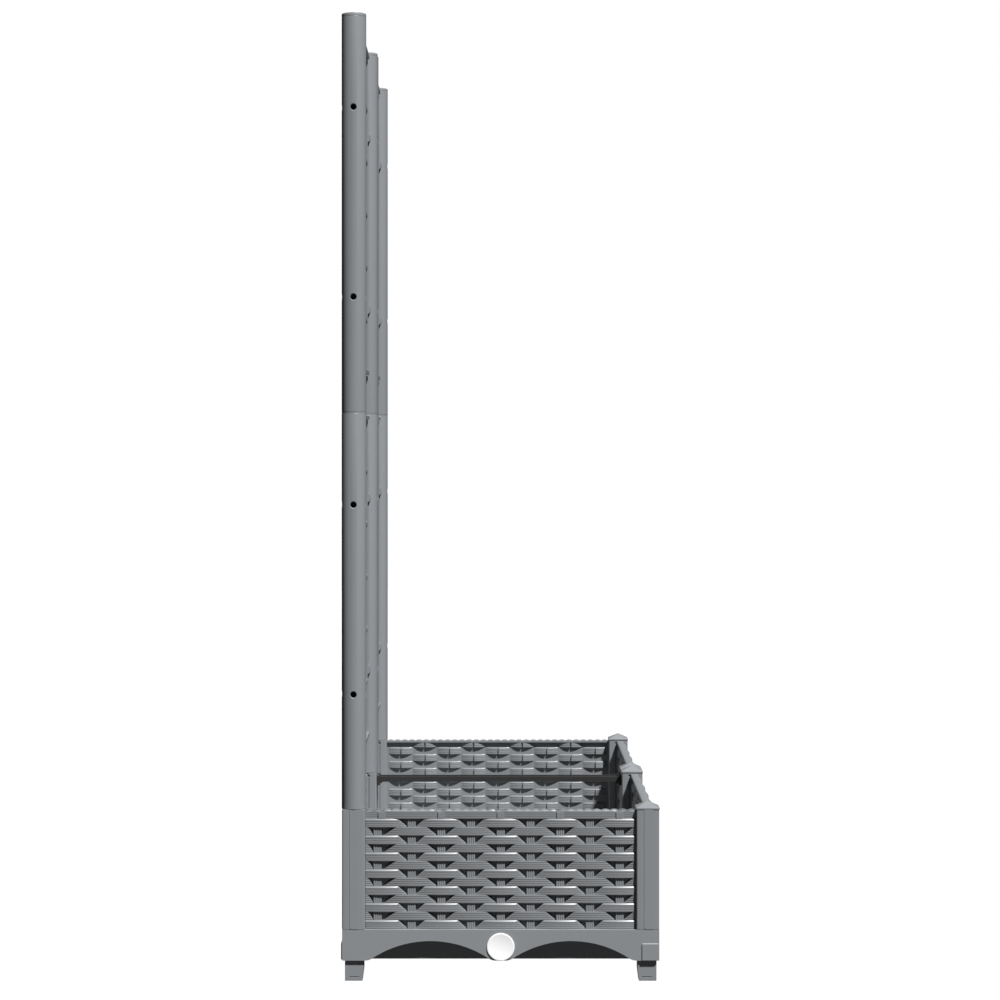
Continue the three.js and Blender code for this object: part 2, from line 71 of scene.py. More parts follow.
tray_low, tray_high = box_mm("near_tray")
panel_low, panel_high = box_mm("near_front_panel")
post_low, post_high = box_mm("near_outer_back_post")
foot_low, foot_high = box_mm("near_outer_back_foot")
cap_low, cap_high = box_mm("near_outer_front_cap")
tube_low, tube_high = box_mm("near_outer_back_lower_tube")
upper_low, upper_high = box_mm("near_outer_back_upper_tube")
_, dome_high = box_mm("near_outer_back_tube_cap")
lattice_low, lattice_high = box_mm("near_lower_lattice")
plug_low, plug_high = box_mm("near_drain_plug")

BAY_X = -(tray_low.x + tray_high.x) / 2
TRAY_HALF = (tray_high.y - tray_low.y) / 2 - BLOCK_PROUD
TRAY_BOTTOM = tray_low.z
TRAY_TOP = panel_low.z - SEAT
PANEL_BOTTOM = panel_low.z
PANEL_TOP = panel_high.z
PANEL_HALF = (panel_high.x - panel_low.x) / 2 - TONGUE
POST_BOTTOM = post_low.z
POST_TOP = post_high.z
POST_SIDE = post_high.x - post_low.x - STRIP_PROUD
POST_MIDDLE = TRAY_HALF - POST_SIDE / 2
FOOT_SIDE = foot_high.x - foot_low.x
FOOT_INSET = foot_low.x - (-BAY_X - TRAY_HALF)
FOOT_TOP = TRAY_BOTTOM - SEAT
CAD_TUBE_SIDES = 12
TUBE_RADIUS = (tube_high.x - tube_low.x) / 2 / cos(pi / CAD_TUBE_SIDES)
TUBE_LENGTH = tube_high.z - tube_low.z
SEAM_GAP = upper_low.z - tube_high.z
PLUG_Z = (plug_low.z + plug_high.z) / 2
PLUG_RADIUS = (plug_high.z - plug_low.z) / 2 / cos(pi / CAD_TUBE_SIDES)

# ------------------------------------------------------------ mesh tools
# A cutting tool reaches 1 mm past the faces that it opens.

SHARP_ANGLE = 34        # degrees between faces, from which an edge counts as sharp
FLAT_ANGLE = 0.3        # degrees, below which neighbouring faces are merged
MERGE_DISTANCE = 0.002
ROD_SIDES = 40
QUARTER_STEPS = 6


def loft(bm, rings, closed=False):
    """Joins rings of points, all of one length, into a closed shell. An open row of rings gets a
    flat face at each end; a closed one goes round."""
    loops = [[bm.verts.new(point) for point in ring] for ring in rings]
    count = len(loops[0])
    pairs = list(zip(loops, loops[1:]))
    if closed:
        pairs.append((loops[-1], loops[0]))
    for one, two in pairs:
        for i in range(count):
            j = (i + 1) % count
            bm.faces.new((one[i], one[j], two[j], two[i]))
    if not closed:
        bm.faces.new(loops[0][::-1])
        bm.faces.new(loops[-1])


def prism(bm, outline, low, high, place):
    """A straight prism. place(u, v, w) turns an outline point and a height into x, y, z."""
    loft(bm, [[place(u, v, w) for u, v in outline] for w in (low, high)])


def upright(u, v, w):
    return (u, v, w)


def facing_front(u, v, w):
    """The outline lies in X and Z, and the prism runs along Y."""
    return (u, w, v)


def along_x(u, v, w):
    """The outline lies in Y and Z, and the prism runs along X."""
    return (w, u, v)


def block(bm, x0, x1, y0, y1, z0, z1):
    prism(bm, [(x0, y0), (x1, y0), (x1, y1), (x0, y1)], z0, z1, upright)


def ring_at(radius, height, sides):
    turn = 2 * pi / sides
    return [(radius * cos(i * turn), radius * sin(i * turn), height) for i in range(sides)]


def lathe(bm, profile, sides, closed=False):
    """A turned shell about Z, from points (radius, height). A closed profile makes a ring."""
    loft(bm, [ring_at(radius, height, sides) for radius, height in profile], closed)


def rounded_square(half, radius, steps=5):
    points = []
    for corner in range(4):
        for step in range(steps + 1):
            angle = (corner + step / steps) * pi / 2
            sx = 1 if corner in (0, 3) else -1
            sy = 1 if corner in (0, 1) else -1
            points.append((
                sx * (half - radius) + radius * cos(angle),
                sy * (half - radius) + radius * sin(angle),
            ))
    return points


def quarter(middle_u, middle_v, radius, start):
    """Points of a quarter circle, which begins at the angle start."""
    angles = [start + step * pi / 2 / QUARTER_STEPS for step in range(QUARTER_STEPS + 1)]
    return [(middle_u + radius * cos(angle), middle_v + radius * sin(angle)) for angle in angles]


def made(draw):
    """The mesh, still in millimetres, that draw(bm) makes."""
    bm = bmesh.new()
    draw(bm)
    bmesh.ops.recalc_face_normals(bm, faces=bm.faces)
    mesh = bpy.data.meshes.new("shape")
    bm.to_mesh(mesh)
    bm.free()
    return mesh


def boolean(base, tool, operation):
    """One solid joined to, or cut by, another. Both are meshes in millimetres."""
    carrier = bpy.data.objects.new("boolean_base", base)
    other = bpy.data.objects.new("boolean_tool", tool)
    for item in (carrier, other):
        bpy.context.scene.collection.objects.link(item)
    modifier = carrier.modifiers.new("boolean", "BOOLEAN")
    modifier.operation = operation
    modifier.solver = "EXACT"
    modifier.object = other
    bpy.context.view_layer.update()
    graph = bpy.context.evaluated_depsgraph_get()
    result = bpy.data.meshes.new_from_object(carrier.evaluated_get(graph))
    for item in (carrier, other):
        bpy.data.objects.remove(item)
    return result


def cut(base, *draws):
    for draw in draws:
        base = boolean(base, made(draw), "DIFFERENCE")
    return base


def joined(base, *draws):
    for draw in draws:
        base = boolean(base, made(draw), "UNION")
    return base


def finished(mesh, name, smooth_below=SHARP_ANGLE):
    """Merges flat neighbours, scales the mesh to metres, and smooths it below an angle."""
    bm = bmesh.new()
    bm.from_mesh(mesh)
    bmesh.ops.remove_doubles(bm, verts=bm.verts, dist=MERGE_DISTANCE)
    bmesh.ops.dissolve_limit(bm, angle_limit=radians(FLAT_ANGLE), verts=bm.verts, edges=bm.edges)
    bmesh.ops.scale(bm, vec=(MM, MM, MM), verts=bm.verts)
    bm.to_mesh(mesh)
    bm.free()
    mesh.name = name
    for polygon in mesh.polygons:
        polygon.use_smooth = True
    mesh.set_sharp_from_angle(angle=radians(smooth_below))
    return mesh


# ------------------------------------------------------------ materials

PLASTIC_IOR = 1.49
CLOUD_SCALE = 14
GLOSS_SCALE = 60
GLOSS_SPREAD = 0.06       # of the roughness, up and down
GRAIN_SCALE = 1400
GRAIN_DEPTH = 0.00012     # in metres
COLOR_A, COLOR_B, COLOR_OUT = 6, 7, 2   # a Mix node's colour sockets
FLOAT_A, FLOAT_B = 2, 3                 # and its plain number ones


def plastic(name, color, roughness, grain=0.35, mottle=0.025):
    """Moulded plastic: faint cloudy colour, uneven gloss and a fine grain in relief."""
    material = bpy.data.materials.new(name)
    material.use_nodes = True
    nodes = material.node_tree.nodes
    links = material.node_tree.links
    shader = nodes["Principled BSDF"]
    shader.inputs["IOR"].default_value = PLASTIC_IOR
    where = nodes.new("ShaderNodeTexCoord")

    def noise(scale, detail):
        node = nodes.new("ShaderNodeTexNoise")
        node.inputs["Scale"].default_value = scale
        node.inputs["Detail"].default_value = detail
        links.new(where.outputs["Object"], node.inputs["Vector"])
        return node.outputs["Fac"]

    clouds = nodes.new("ShaderNodeMix")
    clouds.data_type = "RGBA"
    for socket, share in ((COLOR_A, 1 - mottle), (COLOR_B, 1 + mottle)):
        clouds.inputs[socket].default_value = (*(channel * share for channel in color), 1)
    links.new(noise(CLOUD_SCALE, detail=5), clouds.inputs[0])
    links.new(clouds.outputs[COLOR_OUT], shader.inputs["Base Color"])

    gloss = nodes.new("ShaderNodeMapRange")
    gloss.inputs["To Min"].default_value = roughness - GLOSS_SPREAD
    gloss.inputs["To Max"].default_value = roughness + GLOSS_SPREAD
    links.new(noise(GLOSS_SCALE, detail=3), gloss.inputs["Value"])
    links.new(gloss.outputs["Result"], shader.inputs["Roughness"])

    bump = nodes.new("ShaderNodeBump")
    bump.inputs["Strength"].default_value = grain
    bump.inputs["Distance"].default_value = GRAIN_DEPTH
    links.new(noise(GRAIN_SCALE, detail=2), bump.inputs["Height"])
    links.new(bump.outputs["Normal"], shader.inputs["Normal"])
    return material


GREY = plastic("grey_moulded", (0.234, 0.245, 0.257), 0.46)
TRAY_GREY = plastic("grey_tray", (0.240, 0.251, 0.261), 0.60)
WEAVE_GREY = plastic("grey_weave", (0.220, 0.229, 0.238), 0.38)
TUBE_GREY = plastic("grey_tube", (0.237, 0.249, 0.261), 0.40, grain=0.2)
DARK = plastic("dark_moulded", (0.034, 0.033, 0.033), 0.42)
WHITE = plastic("white_moulded", (0.985, 0.985, 0.985), 0.38, mottle=0.008)

pieces = []


def place(node, mesh, material, x=0.0, y=0.0, z=0.0, turns=0, body="root", edge=0.0):
    """Puts a shared mesh in a CAD node's place, turned by quarter turns about Z. edge is the
    rounding of its sharp edges, in millimetres."""
    piece = bpy.data.objects.new(node + ".look", mesh)
    bpy.context.scene.collection.objects.link(piece)
    if not mesh.materials:
        mesh.materials.append(material)
    place_at = Matrix.Translation(Vector((x, y, z)) * MM)
    piece.matrix_world = place_at @ Matrix.Rotation(turns * pi / 2, 4, "Z")
    if edge:
        soften(piece, edge)
    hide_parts(node)
    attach(piece, body)
    pieces.append(piece)
    return piece


def soften(piece, edge):
    modifier = piece.modifiers.new("soft_edges", "BEVEL")
    modifier.width = edge * MM
    modifier.segments = 2
    modifier.limit_method = "ANGLE"
    modifier.angle_limit = radians(SHARP_ANGLE)
    modifier.harden_normals = True


# ------------------------------------------------------------ woven-look wall panels
# A panel is drawn as the wall that faces -Y. Depth runs inwards from the tray's outer face.

ROWS = 13
RIM_HEIGHT = 10.5
STAKES = 9
STAKE_PITCH = 37.25
FIRST_STAKE_SHIFT = 5.4   # of the first stake and its gaps' feet, towards the panel's edge
STAKE_WIDTH = 10.2
STAKE_FRONT = 6.9
STAKE_RIBS = 4
STAKE_SECTION = ((0.0, 0.7), (0.2, 0.2), (0.5, 0.0), (0.8, 0.2))      # share across, depth
PATCH_SECTION = ((0.0, 0.3), (0.25, 0.05), (0.5, 0.0), (0.75, 0.05))
GAP_TOP = 33.0
GAP_FOOT = 10.4
CORDS = 4                 # cords side by side in one strand
CORD_GROOVE = 0.25
CORD_SECTION = ((0.0, 1.0), (0.18, 0.25), (0.5, 0.0), (0.82, 0.25))   # share down, share sunk
BOW_RADIUS = 115.0        # a strand's bow round its stake, seen from above
STRAND_EDGE = ((0.0, 0.5), (0.25, 0.15), (0.7, 0.0))   # a soft end: inset, set back
STRAND_STEPS = 12
LEDGE_HEIGHT = 1.6
LEDGE_DEPTH = 5.3
UPPER_FACE = (4.2, 4.7)   # depth at the top and foot of the strands with a ledge
LOWER_FACE = (4.7, 5.4)   # and of the strands between them
ROW_LAP = 0.1
POCKET_DEPTH = 10.8
POCKET_LAP = 0.4          # of strands and stakes into the pockets' back
CORE_DEPTH = 12.2
RIM_CREST = 4.2           # least depth of the rim, over every second stake
RIM_BOW = 300.0           # radius of the rim's bows, seen from above
RIM_GROOVE = 0.16
RIM_START = 0.3           # of the cords, below the top of the rim's face
RIM_SLOPE = 0.8           # inwards, from the top of the rim's face to its foot
LIP_RISE = 1.0            # of the lip's ridges above the panel's CAD top
SHOULDER = 0.9            # from the CAD top down to where the rim's corded face starts
PATCH_WIDTH = 8.6         # of the stake heads that stand out of the rim between its bows
PATCH_DEPTH = 5.2
PATCH_DROP = 1.8          # of its top, below the rim's face
NOTCH_WIDTH = 0.8
NOTCH_DEPTH = 1.3
NOTCH_START = 2.2         # below the top of the rim's face
NOTCH_FADE = 1.5
LIP_FRONT = 7.0
LIP_BACK = 16.4
LIP_INNER_HEIGHT = 2.8
LIP_RIDGES = 31
LIP_RELIEF = 1.5
RIDGE_STEPS = 8
RIDGE_POWER = 0.8         # below 1, ridges are broad and the grooves between them narrow
LIP_EDGE = 0.8
INNER_BULGE = 4.2
INNER_CHAMFER = (1.1, 1.7)   # height and depth
INNER_STEPS = 7
SEAM_HALF = 1.3           # half the width of the seam in the middle of an inner strand
SEAM_FLOOR = 0.7
SEAM_DEPTH = 2.8
TONGUE_DEPTH = 9.0
TONGUE_THICK = 4.0

WEAVE_TOP = PANEL_TOP - RIM_HEIGHT
WEAVE_HALF = PANEL_HALF + SEAT - 0.05
ROW_PITCH = (WEAVE_TOP - PANEL_BOTTOM) / ROWS


def at_depth(x, depth, z):
    return (x, -TRAY_HALF + depth, z)


def even_x(index):
    """The middle of a strand, a gap's head or an inner block."""
    return (index - (STAKES - 1) / 2) * STAKE_PITCH


def stake_x(index):
    """The middle of a stake and of its gaps' feet, on the outer side."""
    shift = FIRST_STAKE_SHIFT if index == 0 else 0
    return even_x(index) - shift


def row_top(row):
    return WEAVE_TOP - row * ROW_PITCH


def corded(start, end, face, groove=CORD_GROOVE):
    """Points (drop, depth) down a face of cords, from drop start to end; face is its depth at
    the two ends."""
    points = []
    pitch = (end - start) / CORDS
    for cord in range(CORDS):
        for share, sunk in CORD_SECTION:
            drop = start + (cord + share) * pitch
            depth = lerp(*face, (drop - start) / (end - start))
            points.append((drop, depth + sunk * groove))
    points.append((end, face[1] + groove))
    return points


def strand(bm, row, stake):
    """One strand where it bows outwards over a stake, between the gaps on its two sides."""
    centre = even_x(stake)
    top = row_top(row)
    if row % 2 == 0:
        ledge = [(0.0, LEDGE_DEPTH), (LEDGE_HEIGHT, UPPER_FACE[0])]
        face = ledge + corded(LEDGE_HEIGHT, ROW_PITCH + ROW_LAP, UPPER_FACE)[1:]
    else:
        face = corded(0.0, ROW_PITCH - ROW_LAP, LOWER_FACE)

    def gap_edge(index, side, drop):
        """X of one edge of the gap over a stake, which narrows from its head to its foot."""
        foot = stake_x(index) + side * GAP_FOOT / 2
        head = even_x(index) + side * GAP_TOP / 2
        return lerp(head, foot, drop / ROW_PITCH)

    def ends(drop):
        left = gap_edge(stake - 1, 1, drop) if stake > 0 else -WEAVE_HALF
        right = gap_edge(stake + 1, -1, drop) if stake < STAKES - 1 else WEAVE_HALF
        return left, right

    columns = [(0.0, inset, back) for inset, back in STRAND_EDGE]
    columns += [(step / STRAND_STEPS, 0.0, 0.0) for step in range(1, STRAND_STEPS)]
    columns += [(1.0, -inset, back) for inset, back in reversed(STRAND_EDGE)]
    rings = []
    for share, inset, setback in columns:
        ring = []
        for drop, depth in face:
            x = lerp(*ends(drop), share) + inset
            bow = (x - centre) ** 2 / (2 * BOW_RADIUS)
            ring.append(at_depth(x, depth + bow + setback, top - drop))
        for drop in (face[-1][0], 0.0):
            x = lerp(*ends(drop), share) + inset
            ring.append(at_depth(x, POCKET_DEPTH + POCKET_LAP, top - drop))
        rings.append(ring)
    loft(bm, rings)


def ribbed(bm, middle, width, front, back, section, low, high):
    """An upright with ribs down its front, from a section of one rib."""
    left = middle - width / 2
    rib = width / STAKE_RIBS
    outline = []
    for i in range(STAKE_RIBS):
        for share, sunk in section:
            outline.append((left + (i + share) * rib, front + sunk))
    outline.append((left + width, front + section[0][1]))
    outline += [(left + width, back), (left, back)]
    prism(bm, outline, low, high, upright)


def stake(bm, index):
    """The upright that the strands pass in front of and behind."""
    front = -TRAY_HALF + STAKE_FRONT
    back = -TRAY_HALF + POCKET_DEPTH + POCKET_LAP
    ribbed(bm, stake_x(index), STAKE_WIDTH, front, back, STAKE_SECTION,
           PANEL_BOTTOM, WEAVE_TOP + 1)


def inner_block(bm, row, index):
    """The strand where it bows inwards, on the panel's inner side."""
    centre = even_x(index)
    top = row_top(row)
    half = STAKE_PITCH / 2
    rings = []
    seam = [(-SEAM_HALF, 0.0), (-SEAM_FLOOR, SEAM_DEPTH), (SEAM_FLOOR, SEAM_DEPTH),
            (SEAM_HALF, 0.0)]
    sides = [(step / INNER_STEPS * half, 0.0) for step in range(-INNER_STEPS, 0)]
    for offset, sunk in sides + seam + [(-offset, 0.0) for offset, _ in reversed(sides)]:
        x = centre + offset
        bulge = INNER_BULGE * (1 - ((x - centre) / half) ** 2) - sunk
        depth = CORE_DEPTH + max(bulge, 0.05)
        ring = [(0.0, max(depth - INNER_CHAMFER[1], CORE_DEPTH - 0.02))]
        ring += [
            (drop, 2 * depth - sunk_depth)
            for drop, sunk_depth in corded(INNER_CHAMFER[0], ROW_PITCH, (depth, depth))
        ]
        ring += [(ROW_PITCH, CORE_DEPTH - 1), (0.0, CORE_DEPTH - 1)]
        rings.append([at_depth(x, deep, top - drop) for drop, deep in ring])
    loft(bm, rings)


def rim_depth(x):
    """Depth of the rim's face, which bows outwards over every second stake."""
    nearest = min(abs(x - even_x(index)) for index in range(1, STAKES, 2))
    return RIM_CREST + min(nearest, STAKE_PITCH) ** 2 / (2 * RIM_BOW)


def rim(bm):
    """The border along the top: a corded face with a sloping shoulder, and on top of it a row of
    low ridges that run across the wall."""
    pitch = 2 * WEAVE_HALF / LIP_RIDGES
    face_top = PANEL_TOP - SHOULDER
    notches = [even_x(index) - PATCH_WIDTH / 2 for index in range(0, STAKES, 2)]
    stations = [(-WEAVE_HALF + i * pitch / RIDGE_STEPS, 0.0)
                for i in range(LIP_RIDGES * RIDGE_STEPS + 1)]
    for right in notches:
        left = right - NOTCH_WIDTH
        stations = [item for item in stations if not left - 0.2 < item[0] < right + 0.2]
        stations += [(left - 0.05, 0.0), (left, 1.0), (right, 1.0), (right + 0.05, 0.0)]
    rings = []
    for x, notch in sorted(stations):
        ridge = abs(sin(pi * (x + WEAVE_HALF) / pitch)) ** RIDGE_POWER
        high = PANEL_TOP + LIP_RISE - LIP_RELIEF * (1 - ridge)
        slope = 0.5 * LIP_RELIEF * (1 - ridge)
        front = rim_depth(x)
        ring = [
            at_depth(x, LIP_BACK, PANEL_TOP - LIP_INNER_HEIGHT),
            at_depth(x, LIP_BACK, high - LIP_EDGE + 0.1),
            at_depth(x, LIP_BACK - LIP_EDGE, high), at_depth(x, LIP_FRONT, high),
            at_depth(x, front + LIP_EDGE + slope, face_top + 0.7 - 0.4 * slope),
            at_depth(x, front + 0.1, face_top - 0.1),
        ]
        drop_end = face_top - WEAVE_TOP
        for drop, depth in corded(RIM_START, drop_end, (front, front + RIM_SLOPE), RIM_GROOVE):
            sunk = notch * NOTCH_DEPTH * min(1, max(0, (drop - NOTCH_START) / NOTCH_FADE))
            ring.append(at_depth(x, depth + sunk, face_top - drop))
        ring.append(at_depth(x, CORE_DEPTH - 0.5, WEAVE_TOP))
        ring.append(at_depth(x, CORE_DEPTH - 0.5, PANEL_TOP - LIP_INNER_HEIGHT))
        rings.append(ring)
    loft(bm, rings)


def patch(bm, index):
    """The ribbed head of a stake, standing a little out of the rim between two bows."""
    front = -TRAY_HALF + PATCH_DEPTH
    ribbed(bm, even_x(index), PATCH_WIDTH, front, front + 4, PATCH_SECTION,
           WEAVE_TOP + 0.5, PANEL_TOP - SHOULDER - PATCH_DROP)


def panel(bm):
    block(bm, -WEAVE_HALF, WEAVE_HALF, -TRAY_HALF + POCKET_DEPTH, -TRAY_HALF + CORE_DEPTH,
          PANEL_BOTTOM, PANEL_TOP - LIP_INNER_HEIGHT / 2)
    for row in range(ROWS):
        odd = row % 2
        for index in range(-odd, STAKES + odd, 2):
            strand(bm, row, index)
    for index in range(STAKES):
        stake(bm, index)
    for row in range(-1, ROWS):
        for index in range(row % 2, STAKES, 2):
            inner_block(bm, row, index)
    rim(bm)
    for index in range(0, STAKES, 2):
        patch(bm, index)
    front = -TRAY_HALF + TONGUE_DEPTH
    for x0, x1 in ((-PANEL_HALF - TONGUE, -PANEL_HALF), (PANEL_HALF, PANEL_HALF + TONGUE)):
        block(bm, x0, x1, front, front + TONGUE_THICK, PANEL_BOTTOM, PANEL_TOP)


# ------------------------------------------------------------ base tray

TRAY_WALL = 2.5
TRAY_DECK = 3.0
BASIN_SET_BACK = 13.0
BASIN_HALF = TRAY_HALF - BASIN_SET_BACK - TRAY_WALL
COLUMN_SIDE = 33.0
FREE_HALF = TRAY_HALF - COLUMN_SIDE   # half of a side between its corner columns
ARCH_WIDTH = 154.0
ARCH_HEIGHT = 24.5
ARCH_STEPS = 28
ARCH_FILLET = 4.8       # from the corner where the arch springs to where its rounding ends
FILLET_STEPS = 6
PIER_WIDTH = 22.0
BLOCK_WIDTH = 20.0
BLOCK_HEIGHT = 21.2
BLOCK_CHAMFER = 1.1     # of the upper end
BLOCK_LIFT = 0.6
BLOCK_EDGE = 1.5
BLOCK_CORNER = 3.0
SHANK_RADIUS = 7.5      # of the drain plug
SPOUT_RADIUS = 10.4     # of the sleeve round it


def four_sides(draw_side):
    """Repeats a side that is drawn facing -Y on all four sides."""
    def draw(bm):
        for turn in range(4):
            side = bmesh.new()
            draw_side(side)
            bmesh.ops.rotate(side, cent=(0, 0, 0), matrix=Matrix.Rotation(turn * pi / 2, 3, "Z"),
                             verts=side.verts)
            mesh = bpy.data.meshes.new("side")
            side.to_mesh(mesh)
            side.free()
            bm.from_mesh(mesh)
            bpy.data.meshes.remove(mesh)
    return draw


def arch_outline(middle):
    """A circular arc over its chord, with rounded corners where it meets the skirt's edge."""
    half = ARCH_WIDTH / 2
    radius = (half ** 2 + ARCH_HEIGHT ** 2) / (2 * ARCH_HEIGHT)
    spread = asin(half / radius)
    centre = TRAY_BOTTOM + ARCH_HEIGHT - radius
    kept = spread - ARCH_FILLET / radius
    right = []
    for step in range(FILLET_STEPS):
        share = step / FILLET_STEPS
        ends = (half + ARCH_FILLET, TRAY_BOTTOM), (radius * sin(kept), centre + radius * cos(kept))
        weights = (1 - share) ** 2, 2 * share * (1 - share), share ** 2
        corners = ends[0], (half, TRAY_BOTTOM), ends[1]
        right.append(tuple(sum(w * c[axis] for w, c in zip(weights, corners)) for axis in (0, 1)))
    arc = []
    for step in range(ARCH_STEPS + 1):
        angle = pi / 2 - kept + 2 * kept * step / ARCH_STEPS
        arc.append((radius * cos(angle), centre + radius * sin(angle)))
    left = [(-u, v) for u, v in reversed(right)]
    low = [(-half - ARCH_FILLET, TRAY_BOTTOM - 1), (half + ARCH_FILLET, TRAY_BOTTOM - 1)]
    return [(middle + u, v) for u, v in low + right + arc + left]


def arches(bm):
    for side in (-1, 1):
        outline = arch_outline(side * (PIER_WIDTH + ARCH_WIDTH) / 2)
        prism(bm, outline, -TRAY_HALF - 1, -TRAY_HALF + TRAY_WALL + 1, facing_front)


def corner_block(bm):
    right = TRAY_HALF - BLOCK_EDGE
    left = right - BLOCK_WIDTH
    low = TRAY_BOTTOM + BLOCK_LIFT
    high = low + BLOCK_HEIGHT
    front = -TRAY_HALF - BLOCK_PROUD
    rings = []
    for y, top in ((front, high - BLOCK_CHAMFER), (front + BLOCK_CHAMFER, high),
                   (-TRAY_HALF + TRAY_WALL / 2, high)):
        outline = [(left, top), (left, low)]
        outline += quarter(right - BLOCK_CORNER, low + BLOCK_CORNER, BLOCK_CORNER, -pi / 2)
        outline.append((right, top))
        rings.append([(u, y, v) for u, v in outline])
    loft(bm, rings)


def channel(bm):
    """The hollow between the skirt and the basin's wall, open below."""
    block(bm, -FREE_HALF, FREE_HALF, -TRAY_HALF + TRAY_WALL, -BASIN_HALF - TRAY_WALL,
          TRAY_BOTTOM - 1, TRAY_TOP - TRAY_DECK)


def basin_across(bm):
    block(bm, -BASIN_HALF, BASIN_HALF, -FREE_HALF, FREE_HALF,
          TRAY_BOTTOM + TRAY_WALL, TRAY_TOP + 1)


def basin_along(bm):
    block(bm, -FREE_HALF, FREE_HALF, -BASIN_HALF, BASIN_HALF,
          TRAY_BOTTOM + TRAY_WALL, TRAY_TOP + 1)


def rod_along_x(radius, x0, x1, z):
    def draw(bm):
        turn = 2 * pi / ROD_SIDES
        outline = [(radius * cos(i * turn), z + radius * sin(i * turn)) for i in range(ROD_SIDES)]
        prism(bm, outline, x0, x1, along_x)
    return draw


def tray_mesh():
    body = made(lambda bm: block(bm, -TRAY_HALF, TRAY_HALF, -TRAY_HALF, TRAY_HALF,
                                 TRAY_BOTTOM, TRAY_TOP))
    body = cut(body, four_sides(channel), basin_across, basin_along, four_sides(arches))
    body = joined(body, four_sides(corner_block))
    spout = rod_along_x(SPOUT_RADIUS, -TRAY_HALF + 1, -BASIN_HALF - 1, PLUG_Z)
    bore = rod_along_x(SHANK_RADIUS + FIT, -TRAY_HALF - 1, -BASIN_HALF + 1, PLUG_Z)
    return finished(cut(joined(body, spout), bore), "tray")


# ------------------------------------------------------------ feet, plugs, posts and caps

FOOT_TAPER = 1.6
FOOT_TAPER_HEIGHT = 14.0
FOOT_GROOVE_WIDTH = 12.0
FOOT_GROOVE_HEIGHT = 1.2
FOOT_GROOVE_DEPTH = 0.7
FOOT_GROOVE_Z = 4.9
PLUG_GAP = 0.06         # behind the plug's disc
PLUG_DISC = 1.2
PLUG_SIDES = 72
POST_CORNER = 1.9
SEAM_LINE = 17.7        # of a post's inner faces, from the outer face beside each
SEAM_TOP = 5.0          # the line's upper end, below the post's top
SEAM_CUT = (0.9, 1.2)   # half the line's width, and its depth
PIN_CUT = (1.6, 1.8)    # and of the small square hole over it
PIN_HEIGHT = 3.0
STRIP_START = 9.5
STRIP_WIDTH = 11.5
STRIP_CORNER = 3.0
CAP_SKIRT = 2.0
CAP_FLAT = 1.5          # of the apex, below the CAD's point
CAP_TIP = 0.8           # half the width of the flat at the top
CAP_CORNER = 0.8


def foot_mesh():
    half = FOOT_SIDE / 2
    profile = [(-half + FOOT_TAPER, 0), (half, 0), (half, FOOT_TOP), (-half, FOOT_TOP),
               (-half, FOOT_TAPER_HEIGHT)]
    body = made(lambda bm: prism(bm, profile, -half, half, facing_front))
    other = made(lambda bm: prism(bm, profile, -half, half, along_x))
    body = boolean(body, other, "INTERSECT")

    def grooves(bm):
        wide = FOOT_GROOVE_WIDTH / 2
        inner = half - FOOT_GROOVE_DEPTH
        low, high = FOOT_GROOVE_Z - FOOT_GROOVE_HEIGHT / 2, FOOT_GROOVE_Z + FOOT_GROOVE_HEIGHT / 2
        block(bm, inner, half + 1, -wide, wide, low, high)
        block(bm, -wide, wide, inner, half + 1, low, high)
    return finished(cut(body, grooves), "foot")


def plug_mesh():
    """Drawn standing on its tip along +Z, then laid along -X."""
    disc, shank = PLUG_RADIUS, SHANK_RADIUS
    seat = TRAY_HALF + PLUG_GAP
    face = TRAY_HALF + SEAT + PLUG_DISC
    profile = [
        (shank - 1.2, BASIN_HALF - 1), (shank, BASIN_HALF + 1), (shank, seat), (disc - 0.2, seat),
        (disc, seat + 0.2), (disc, face - 0.4), (disc - 0.15, face - 0.12), (disc - 0.4, face),
        (disc - 1.5, face), (disc - 2.0, face - 0.12), (disc * 0.3, face - 0.1),
        (disc * 0.05, face - 0.1),
    ]
    mesh = made(lambda bm: lathe(bm, profile, PLUG_SIDES))
    mesh.transform(Matrix.Translation((0, 0, PLUG_Z)) @ Matrix.Rotation(-pi / 2, 4, "Y"))
    return finished(mesh, "drain_plug")


def post_mesh():
    """The post of the corner at +X and +Y, about its own middle."""
    half = POST_SIDE / 2
    body = made(lambda bm: prism(bm, rounded_square(half, POST_CORNER), POST_BOTTOM, POST_TOP,
                                 upright))
    left = -half + STRIP_START
    right = left + STRIP_WIDTH
    low = POST_BOTTOM + 0.2
    outline = [(left, POST_TOP)]
    outline += quarter(left + STRIP_CORNER, low + STRIP_CORNER, STRIP_CORNER, pi)
    outline += [(right, low), (right, POST_TOP)]
    on_x = made(lambda bm: prism(bm, outline, half - 2, half + STRIP_PROUD, along_x))
    mirrored = [(-u, v) for u, v in outline]
    on_y = made(lambda bm: prism(bm, mirrored, half - 2, half + STRIP_PROUD, facing_front))
    body = boolean(boolean(body, on_x, "UNION"), on_y, "UNION")

    at = half - SEAM_LINE
    end = POST_TOP - SEAM_TOP
    for (wide, deep), from_z, to_z in ((SEAM_CUT, POST_BOTTOM - 1, end),
                                       (PIN_CUT, end - 0.1, end + PIN_HEIGHT)):
        body = cut(
            body,
            lambda bm: block(bm, -half - 1, -half + deep, at - wide, at + wide, from_z, to_z),
            lambda bm: block(bm, at - wide, at + wide, -half - 1, -half + deep, from_z, to_z),
        )
    return finished(body, "post", smooth_below=25)


